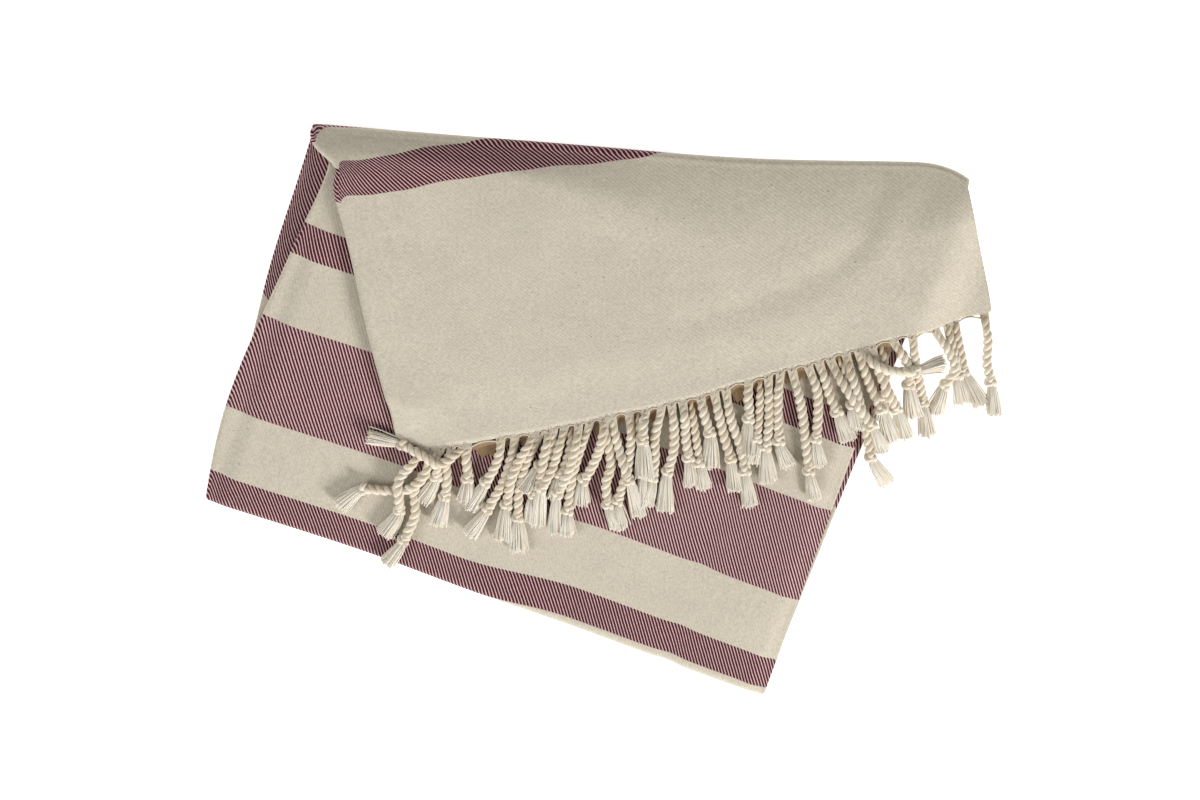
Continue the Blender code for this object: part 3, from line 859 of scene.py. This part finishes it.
def yarn_finish(name, light, dark, depth, fibres, inner):
    """Undyed cotton yarn with fibres along it, with painted shade that makes it darker and warmer towards
    its cord's middle.
    """
    finish = Finish(name)
    slow = finish.noise(finish.node("ShaderNodeTexCoord", output=3), 60.0)
    turn, run, outer = (
        finish.node("ShaderNodeAttribute", output=output, attribute_name=kept)
        for kept, output in (("round", 1), ("run", 2), ("outer", 2))
    )
    x, y, _ = finish.outputs("ShaderNodeSeparateXYZ", (turn,))
    along = finish.node("ShaderNodeCombineXYZ", (x * fibres, y * fibres, run * FIBRES_ALONG))
    streak = finish.noise(along, 1.0, 3.0, 0.6)
    colour = finish.mix(slow.between(0.35, 0.75) * 0.3, light, dark)
    colour = finish.mix(streak.between(0.5, 0.75) * 0.3, colour, dark)
    # painted shade: darker and warmer towards the cord's middle line, in the grooves between plies and
    # inside a brush
    colour = finish.mix((1 - outer.between(0.35, 0.9)) * inner, colour, dark)
    return finish.cotton(colour, 0.92, streak, depth * MM, sheen=0.15, soft=0.3)


# ---- the fringe's node trees


class Shaping(Graph):
    """A Geometry Nodes tree with a named input for each of its piece's values."""

    KINDS = {int: "NodeSocketInt", float: "NodeSocketFloat"}

    def __init__(self, name, values):
        tree = bpy.data.node_groups.new(name, "GeometryNodeTree")
        for way in ("INPUT", "OUTPUT"):
            tree.interface.new_socket("Geometry", in_out=way, socket_type="NodeSocketGeometry")
        self.identifiers = {}
        for label, value in values.items():
            kind = self.KINDS.get(type(value), "NodeSocketMaterial")
            socket = tree.interface.new_socket(label, in_out="INPUT", socket_type=kind)
            self.identifiers[label] = socket.identifier
        super().__init__(tree)
        group = tree.nodes.new("NodeGroupInput")
        self.given = {socket.name: Value(self, socket) for socket in group.outputs if socket.name}

    def done(self, geometry):
        realised = self.node("GeometryNodeRealizeInstances", (geometry,))
        inputs = {"Geometry": realised, "Material": self.given["Finish"]}
        painted = self.node("GeometryNodeSetMaterial", inputs)
        output = self.tree.nodes.new("NodeGroupOutput")
        self.tree.links.new(painted.socket, output.inputs[0])
        return self

    def keep(self, geometry, name, kind, value):
        """Stores a value at each point under a name that finishes can read."""
        inputs = {"Geometry": geometry, "Name": name, "Value": value}
        return self.node("GeometryNodeStoreNamedAttribute", inputs, data_type=kind, domain="POINT")

    def keep_axis(self, geometry):
        return self.keep(geometry, "axis", "FLOAT_VECTOR", self.node("GeometryNodeInputPosition"))

    def copies(self, amount, mode, spacing):
        """Copies of each path, evenly spaced. Returns them with each one's number and the directions
        to the side, up and along."""
        inputs = {"Curve": self.given["Geometry"], mode.title(): spacing}
        spaced = self.node("GeometryNodeResampleCurve", inputs, mode=mode)
        level = self.keep_axis(self.node("GeometryNodeSetCurveNormal", (spaced,), mode="Z_UP"))
        side, tangent = self.node("GeometryNodeInputNormal"), self.node("GeometryNodeInputTangent")
        inputs = {0: level, 2: amount}
        made, number = self.outputs("GeometryNodeDuplicateElements", inputs, domain="SPLINE")
        return made, number, side, self.vector("CROSS_PRODUCT", side, tangent), tangent

    def moved(self, geometry, *steps):
        """The geometry moved by directions, each scaled by its length."""
        offset, *rest = (self.vector("SCALE", way, length) for way, length in steps)
        for step in rest:
            offset = self.vector("ADD", offset, step)
        return self.node("GeometryNodeSetPosition", {"Geometry": geometry, "Offset": offset})

    def tubes(self, curves, radius, sides, reach):
        """A tube along each curve. It keeps where each point lies round and along its yarn, and how far
        from its cord's middle line, 1 at the given reach."""
        place = self.node("GeometryNodeInputPosition")
        circle = self.node("GeometryNodeCurvePrimitiveCircle", {0: sides, 4: radius})
        circle = self.keep(circle, "round", "FLOAT_VECTOR", self.vector("NORMALIZE", place))
        run = self.outputs("GeometryNodeSplineParameter")[1]
        inputs = {
            "Curve": self.keep(curves, "run", "FLOAT", run),
            "Profile Curve": circle,
            "Scale": self.node("GeometryNodeInputRadius"),
            "Fill Caps": True,
        }
        mesh = self.node("GeometryNodeSetShadeSmooth", (self.node("GeometryNodeCurveToMesh", inputs),))
        inputs = {"Name": "axis"}
        axis = self.node("GeometryNodeInputNamedAttribute", inputs, data_type="FLOAT_VECTOR")
        apart = self.vector("LENGTH", self.vector("SUBTRACT", place, axis), output=1)
        return self.keep(mesh, "outer", "FLOAT", apart / reach)


def twisted_tree(values):
    """Turns each path into plies twisted round one another."""
    shaping = Shaping("twisted_yarn", values)
    given = shaping.given
    plies, number, side, up, _ = shaping.copies(given["Plies"], "LENGTH", given["Step"])
    along = shaping.outputs("GeometryNodeSplineParameter")[1]
    angle = number * (2 * math.pi) / given["Plies"] - along * (2 * math.pi) / given["Twist length"]
    reach = shaping.node("GeometryNodeInputRadius") * given["Ply offset"]
    moved = shaping.moved(plies, (side, angle.cosine() * reach), (up, angle.sine() * reach))
    size = given["Ply radius"] + given["Ply offset"]
    return shaping.done(shaping.tubes(moved, given["Ply radius"], given["Sides"], size))


def plain_tree(values):
    """Turns each path into a plain yarn."""
    shaping = Shaping("plain_yarn", values)
    given = shaping.given
    paths = shaping.keep_axis(given["Geometry"])
    return shaping.done(shaping.tubes(paths, given["Radius"], given["Sides"], given["Radius"]))


def brush_tree(values):
    """Turns each path into a brush of loose yarns that spread towards its end."""
    shaping = Shaping("loose_brush", values)
    given = shaping.given
    yarns, _, side, up, tangent = shaping.copies(given["Yarns"], "COUNT", BRUSH_STEPS)
    each = shaping.outputs("GeometryNodeCurveOfPoint")[0]
    lock = (each / given["Yarns in a lock"]).floor()
    factor = shaping.outputs("GeometryNodeSplineParameter")[0]

    def chance(seed, number):
        inputs = {"Min": -1.0, "Max": 1.0, "ID": number, "Seed": seed}
        return shaping.node("FunctionNodeRandomValue", inputs, 1, data_type="FLOAT")

    spread = given["Start spread"] + (given["End spread"] - given["Start spread"]) * factor**BRUSH_OPENING
    place = chance(11, lock) * 0.7 + chance(12, each) * 0.3
    wave = (factor * 5 + chance(15, each) * 3).sine()
    sideways = place * spread + wave * factor * BRUSH_WAVE
    dome = (1 - place * place).largest(0.0) ** 0.5
    upward = (chance(13, each) * 0.5 + 0.5) * dome * spread * 2 * given["Flatness"]
    onward = (chance(14, each) * 0.6 + chance(16, lock) * 0.4) * given["Uneven ends"] * factor
    level_way = shaping.vector("MULTIPLY", tangent, (1, 1, 0))
    moved = shaping.moved(yarns, (side, sideways), (up, upward), (level_way, onward))
    return shaping.done(shaping.tubes(moved, given["Yarn radius"], 4, given["End spread"]))


def shaped(name, paths, shaping, values):
    """The plain mesh that a tree makes from paths of (x, y, z, radius) points."""
    curve = bpy.data.curves.new(name + "_paths", "CURVE")
    curve.dimensions = "3D"
    for path in paths:
        spline = curve.splines.new("POLY")
        spline.points.add(len(path) - 1)
        for point, (*place, radius) in zip(spline.points, path):
            point.co = (*place, 1)
            point.radius = radius
    guide = placed(name + "_paths", curve)
    modifier = guide.modifiers.new("shape", "NODES")
    modifier.node_group = shaping.tree
    for label, value in values.items():
        modifier[shaping.identifiers[label]] = value
    graph = bpy.context.evaluated_depsgraph_get()
    graph.update()
    mesh = bpy.data.meshes.new_from_object(guide.evaluated_get(graph), depsgraph=graph)
    mesh.name = name
    bpy.data.objects.remove(guide, do_unlink=True)
    return placed(name, mesh)


def level_side(ahead):
    return Vector((-ahead.y, ahead.x, 0)).normalized()


def brush_bodies(paths):
    """The dense middle of each loose brush, from its knot to a blunt end."""
    points, faces, rounds, runs = [], [], [], []
    turns = [2 * math.pi * number / BODY_SIDES for number in range(BODY_SIDES)]
    for path in paths:
        line = [Vector(point[:3]) for point in path]
        first = len(points)
        for index, place in enumerate(line):
            share = index / (len(line) - 1)
            ahead = (line[min(index + 1, len(line) - 1)] - line[max(index - 1, 0)]).normalized()
            side = level_side(ahead)
            up = ahead.cross(side)
            width = BODY_SHARE * (BRUSH_START + (BRUSH_END - BRUSH_START) * share**BRUSH_OPENING)
            width *= 1 - 0.2 * smooth((share - 0.8) / 0.2)
            centre = place + up * (BRUSH_FLATNESS * width)
            for turn in turns:
                lump = width * (1 + 0.06 * math.sin(3 * turn + first))
                reach = side * (lump * math.cos(turn)) + up * (lump * BRUSH_FLATNESS * math.sin(turn))
                points.append(centre + reach)
                rounds.append((math.cos(turn), math.sin(turn), first * 0.37))
                runs.append((place - line[0]).length)
        faces.append(list(reversed(range(first, first + BODY_SIDES))))
        faces.append(list(range(len(points) - BODY_SIDES, len(points))))
        faces += ring_faces(first, len(line), BODY_SIDES)
    bodies = plain_mesh("brush_bodies", points, faces)
    for name, kind, field, values in (
        ("round", "FLOAT_VECTOR", "vector", np.array(rounds)),
        ("run", "FLOAT", "value", np.array(runs)),
        ("outer", "FLOAT", "value", np.full(len(points), BODY_OUTER)),
    ):
        bodies.data.attributes.new(name, kind, "POINT").data.foreach_set(field, values.ravel())
    return bodies


# ---- the fringe's paths


def runs_along(points):
    """Each point's distance along a line of points."""
    steps = np.linalg.norm(np.diff(points, axis=0), axis=1)
    return np.concatenate([[0], np.cumsum(steps)])


def through(points, count):
    """Points evenly spaced along a smooth line through points."""
    points = np.array([tuple(point) for point in points])
    points = np.vstack([points[0] * 2 - points[1], points, points[-1] * 2 - points[-2]])
    t = np.arange(16)[:, None] / 16
    dense = [
        b + ((c - a) * t + (a * 2 - b * 5 + c * 4 - d) * t**2 + (b * 3 - a - c * 3 + d) * t**3) / 2
        for a, b, c, d in zip(points, points[1:], points[2:], points[3:])
    ]
    dense = np.vstack([*dense, points[-2]])
    runs = runs_along(dense)
    wanted = np.linspace(0, runs[-1], count)
    return np.stack([np.interp(wanted, runs, column) for column in dense.T], axis=1)


class Lay:
    """Heights of the cords, laid one after another on the cloth and on those already there."""

    SLOPE = 0.45  # the steepest that a cord climbs
    PILE = 7.5 * MM  # how high cords can pile up, pressed into one another
    PRESSED = 0.82  # the share of their radii that is left where one lies on another
    LEAVING = 10 * MM  # how far from its start a cord keeps part of its start height

    def __init__(self):
        self.centres = np.empty((0, 3))
        self.radii = np.empty(0)

    def add(self, plan, radius, start_height):
        bed = np.array([rest_height(Vector(point)) for point in plan]) + radius
        needed = bed.copy()
        reach = (self.radii + radius) * self.PRESSED
        for index, point in enumerate(plan):
            apart = np.linalg.norm(self.centres[:, :2] - point, axis=1)
            near = apart < reach
            if near.any():
                over = self.centres[near, 2] + np.sqrt(reach[near] ** 2 - apart[near] ** 2)
                needed[index] = max(needed[index], over.max())
        runs = runs_along(plan)
        apart = np.abs(runs[:, None] - runs[None, :])
        heights = (needed[None, :] - self.SLOPE * apart).max(axis=1)
        heights = bed + self.PILE * (1 - np.exp(-(heights - bed) / self.PILE))
        blend = np.clip(runs / self.LEAVING, 0, 1)
        heights = start_height * (1 - blend) + heights * blend
        for _ in range(3):
            heights[1:-1] = (heights[:-2] + 2 * heights[1:-1] + heights[2:]) / 4
        laid = np.column_stack([plan, heights])
        self.centres = np.vstack([self.centres, laid])
        self.radii = np.concatenate([self.radii, np.full(len(plan), radius)])
        return laid


def knot_path(centre, ahead, size, turned):
    """A half knot pulled tight round the cord, as a small three-lobed loop."""
    side = level_side(ahead)
    up = ahead.cross(side).normalized()
    up = up if up.z > 0 else -up
    path = []
    for step in range(KNOT_STEPS + 1):
        t = 2 * math.pi * step / KNOT_STEPS + turned
        x = (math.sin(t) + 2 * math.sin(2 * t)) / 3 * size
        y = (math.cos(t) - 2 * math.cos(2 * t)) / 3 * size
        z = -math.sin(3 * t) * size
        point = centre + ahead * (KNOT_LENGTH * x) + side * y + up * (KNOT_HEIGHT * z + KNOT_RAISED)
        point.z = max(point.z, rest_height(point.to_2d()) + KNOT_PLY_RADIUS)
        path.append((*point, 1.0))
    return path


def build_fringe():
    """The paths of the cords, knots, brushes, roots, the lower ply's yarns coloured with painted shade,
    and the weft's ends.
    """
    chance = random.Random(5)
    lay = Lay()
    cords, knots, brushes, roots, shares = [], [], [], [], []
    off = outward(HEM, TOP_FOLD[0])
    for *numbers, level in sorted(FRINGE_CORDS, key=lambda row: row[-1]):
        view_places = list(zip(numbers[::2], numbers[1::2]))
        beds = [rest_height(seen_at(*place, FRONT_TOP)) + CORD_RADIUS for place in view_places]
        start, *bends, tip = (seen_at(*place, bed) for place, bed in zip(view_places, beds))
        share = hem_share(start)
        root = hem_plan(share)
        upper_ply = level >= 0
        root_height = flap_height(root) - (ROOT_DROP if upper_ply else LOWER_ROOT_DROP)
        root_height = max(root_height, rest_height(root) + ROOT_CLEAR)
        laid = lay.add(through([root + off * (2 * MM), *bends], CORD_PLACES), CORD_RADIUS, root_height)
        full = 1.0 if upper_ply else LOWER_CORD
        taper = [full * (0.62 + 0.38 * smooth(index / 12)) for index in range(len(laid))]
        cords.append([(*point, radius) for point, radius in zip(laid, taper)])
        end = Vector(laid[-1])
        ahead = (end - Vector(laid[-4])).normalized()
        knots.append(knot_path(end, ahead, KNOT_SIZE * chance.uniform(0.92, 1.1), chance.uniform(0, 6)))
        bend = end.to_2d().lerp(tip, 0.45) + ahead.to_2d() * (2 * MM)
        plan = through([end.to_2d() + ahead.to_2d() * (2.6 * MM), bend, tip], BRUSH_PLACES)
        laid = lay.add(plan, BRUSH_BED, end.z - 2.4 * MM)
        thinning = np.linspace(1.0, 0.65, len(laid))
        brushes.append([(*point, radius) for point, radius in zip(laid, thinning)])
        if upper_ply:
            roots += root_yarns(share, cords[-1], off, chance)
            shares.append(hem_share(seen_at(*view_places[0], FRONT_TOP + CORD_RADIUS)))
    arches, shaded, tufts = hem_arches(sorted(shares), off, chance)
    return cords, knots, brushes, roots + arches, shaded, tufts


def top_of_flap(place):
    return flap_height(place) + HALF_LAYER


def root_yarns(share, cord, off, chance):
    """The warp yarns that leave the hem side by side and gather into one cord."""
    yarns = []
    joint = Vector(cord[ROOT_JOINT][:3])
    side = level_side((joint - Vector(cord[ROOT_JOINT - 2][:3])).normalized())
    for number in range(ROOT_YARNS):
        across = 2 * number / (ROOT_YARNS - 1) - 1
        start_share = share + across * ROOT_SPREAD / HALF_WIDTH
        if not 0.002 < start_share < 0.998:
            continue
        edge = hem_plan(start_share)
        top = top_of_flap(edge)
        inside = edge - off * (chance.uniform(2.0, 4.5) * MM)
        first = Vector((*inside, top_of_flap(inside) - 0.4 * MM))
        second = Vector((*edge, top - 0.2 * MM))
        third = Vector((*(edge + off * (2.2 * MM)), top - 1.4 * MM))
        end = joint + side * (across * 2.4 * MM) + Vector((0, 0, (2.6 - 1.8 * across * across) * MM))
        path = through([first, second, third.lerp(end, 0.45), end], ROOT_PLACES)
        sizes = np.linspace(0.8, 1.15, ROOT_PLACES)
        yarns.append([(*point, radius) for point, radius in zip(path, sizes)])
    return yarns


def hem_arches(shares, off, chance):
    """Between neighbouring roots: the last weft yarn, bent into an arch, the lower ply's yarns below it,
    coloured with painted shade, and the weft's brown cut end."""
    arches, shaded, tufts = [], [], []
    for left, right in zip(shares, shares[1:]):
        if (right - left) * HALF_WIDTH < HEM_GAP:
            continue
        on_cloth = drape(hem_plan(right) + off * (6 * MM)) == 0
        for number in range(chance.randint(8, 14) if on_cloth else 1):
            inner = ARCH_INSET + SHADED_INSET * number
            drop = min(0.2 * MM + SHADED_DROP * number, SHADED_LOWEST)
            path = []
            for part in np.linspace(0, 1, ARCH_PLACES):
                edge = hem_plan(left + (right - left) * (inner + (1 - 2 * inner) * part))
                out = ARCH_DEPTH * (1 - math.sin(math.pi * part)) - ARCH_START + SHADED_PITCH * number
                path.append((*(edge + off * out), top_of_flap(edge) - drop, ARCH_SIZE))
            # all but the first are the lower ply's yarns, coloured with painted shade
            (shaded if number else arches).append(path)
        if chance.random() < TUFT_CHANCE:
            foot = Vector(arches[-1][-1][:3])
            tip = foot + Vector((1.0 * MM, -off.y * 2.6 * MM, 0.5 * MM))
            tufts.append([(*foot, 1.0), (*foot.lerp(tip, 0.5), 1.0), (*tip, 0.6)])
    return arches, shaded, tufts


def hem_share(place):
    """The share of the hem nearest to a plan position."""
    along = HEM[1] - HEM[0]
    return min(max((place - HEM[0]).dot(along) / along.length_squared, 0.004), 0.996)


# ---- the room


def make_floor():
    corners = [(-1, -1), (1, -1), (1, 1), (-1, 1)]
    points = [(x * FLOOR_REACH, y * FLOOR_REACH, 0) for x, y in corners]
    floor = plain_mesh("floor", points, [(0, 1, 2, 3)])
    floor.location.z = -FLOOR_DROP
    inputs = {
        "Base Color": (0.96, 0.96, 0.96, 1),
        "Roughness": 0.9,
        "Specular IOR Level": 0.1,
        "Emission Color": (1.0, 1.0, 1.0, 1),
        "Emission Strength": 0.7,
    }
    floor.data.materials.append(Finish("pale_floor").done(inputs))
    return floor


def make_light():
    world = bpy.data.worlds.new("studio")
    world.use_nodes = True
    background = world.node_tree.nodes["Background"]
    background.inputs["Color"].default_value = WORLD_COLOUR
    background.inputs["Strength"].default_value = WORLD_STRENGTH
    bpy.context.scene.world = world
    bpy.context.scene.view_settings.view_transform = "Standard"
    for name, place, size, power, colour in LAMPS:
        light = bpy.data.lights.new(name, "AREA")
        light.size, light.energy, light.color = size, power, colour
        lamp = placed(name, light)
        lamp.location = place
        lamp.rotation_euler = (-Vector(place)).to_track_quat("-Z", "Y").to_euler()


def wear(piece, material):
    piece.data.materials.clear()
    piece.data.materials.append(material)


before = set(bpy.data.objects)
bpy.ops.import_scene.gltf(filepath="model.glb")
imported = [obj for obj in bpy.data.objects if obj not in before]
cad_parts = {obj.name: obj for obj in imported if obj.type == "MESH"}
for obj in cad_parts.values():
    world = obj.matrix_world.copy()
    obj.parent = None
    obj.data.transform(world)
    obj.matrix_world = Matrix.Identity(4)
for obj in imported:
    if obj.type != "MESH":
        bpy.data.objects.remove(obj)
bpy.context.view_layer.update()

make_camera()
floor = make_floor()
make_light()

cloth = build_cloth()
wear(cloth, striped_cotton())

yarns = {name: yarn_finish(name, *values) for name, values in YARNS.items()}
cord_paths, knot_paths, brush_paths, root_paths, shaded_paths, tuft_paths = build_fringe()
cord_values = {
    "Step": 1.1 * MM,
    "Plies": 2,
    "Ply radius": 0.60 * CORD_RADIUS,
    "Ply offset": 0.42 * CORD_RADIUS,
    "Twist length": CORD_TWIST,
    "Sides": 8,
    "Finish": yarns["twisted_cotton_cord"],
}
brush_values = {
    "Yarns": BRUSH_YARNS,
    "Yarns in a lock": 6,
    "Start spread": BRUSH_START,
    "End spread": BRUSH_END,
    "Flatness": BRUSH_FLATNESS,
    "Uneven ends": 2.5 * MM,
    "Yarn radius": 0.72 * MM,
    "Finish": yarns["loose_cotton_yarn"],
}
knot_values = {"Radius": KNOT_PLY_RADIUS, "Sides": 9, "Finish": yarns["twisted_cotton_cord"]}
plain = plain_tree(knot_values)
cords = shaped("fringe_cords", cord_paths, twisted_tree(cord_values), cord_values)
knots = shaped("fringe_knots", knot_paths, plain, knot_values)
roots, shaded, tufts = (
    shaped(name, paths, plain, {"Radius": radius, "Sides": 6, "Finish": yarns[finish]})
    for name, paths, radius, finish in (
        ("fringe_roots", root_paths, 0.62 * MM, "gathered_warp_yarn"),
        # the lower ply's yarns under the hem, coloured with painted shade
        ("painted_shade_roots", shaded_paths, 0.62 * MM, "shaded_warp_yarn"),
        ("weft_ends", tuft_paths, 0.55 * MM, "cut_weft_end"),
    )
)
brushes = shaped("fringe_brushes", brush_paths, brush_tree(brush_values), brush_values)
bodies = brush_bodies(brush_paths)
wear(bodies, yarns["dense_cotton_yarn"])

fringe = (cords, knots, roots, shaded, tufts, brushes, bodies)
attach(cloth, "root")
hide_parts("towel_cloth")
for piece in fringe:
    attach(piece, "root")
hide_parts("towel_fringe")
